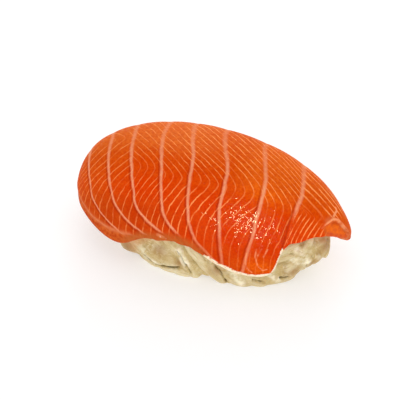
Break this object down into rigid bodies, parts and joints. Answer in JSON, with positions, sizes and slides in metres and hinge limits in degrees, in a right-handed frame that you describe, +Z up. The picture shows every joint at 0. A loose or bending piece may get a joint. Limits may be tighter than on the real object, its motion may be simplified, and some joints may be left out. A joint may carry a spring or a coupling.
{
  "type": "salmon nigiri",
  "caption": "Finger of pressed sushi rice with a thick slice of raw salmon draped over its top and sides, striped with fat and drooping lower on the front.",
  "frame": {"origin": "middle of the whole piece's footprint box, on the table", "axes": "+Z up, +X along the rice finger towards the slice's pointed end, -Y towards the side where the slice hangs lowest"},
  "size_m": [0.0674, 0.0342, 0.0291],
  "materials": {
    "rice": "moist, slightly translucent cooked grains",
    "salmon": "wet gloss, orange flesh with pale fat stripes"
  },
  "bodies": {
    "root": {"rice": "rice", "salmon_slice": "salmon"}
  },
  "joints": []
}
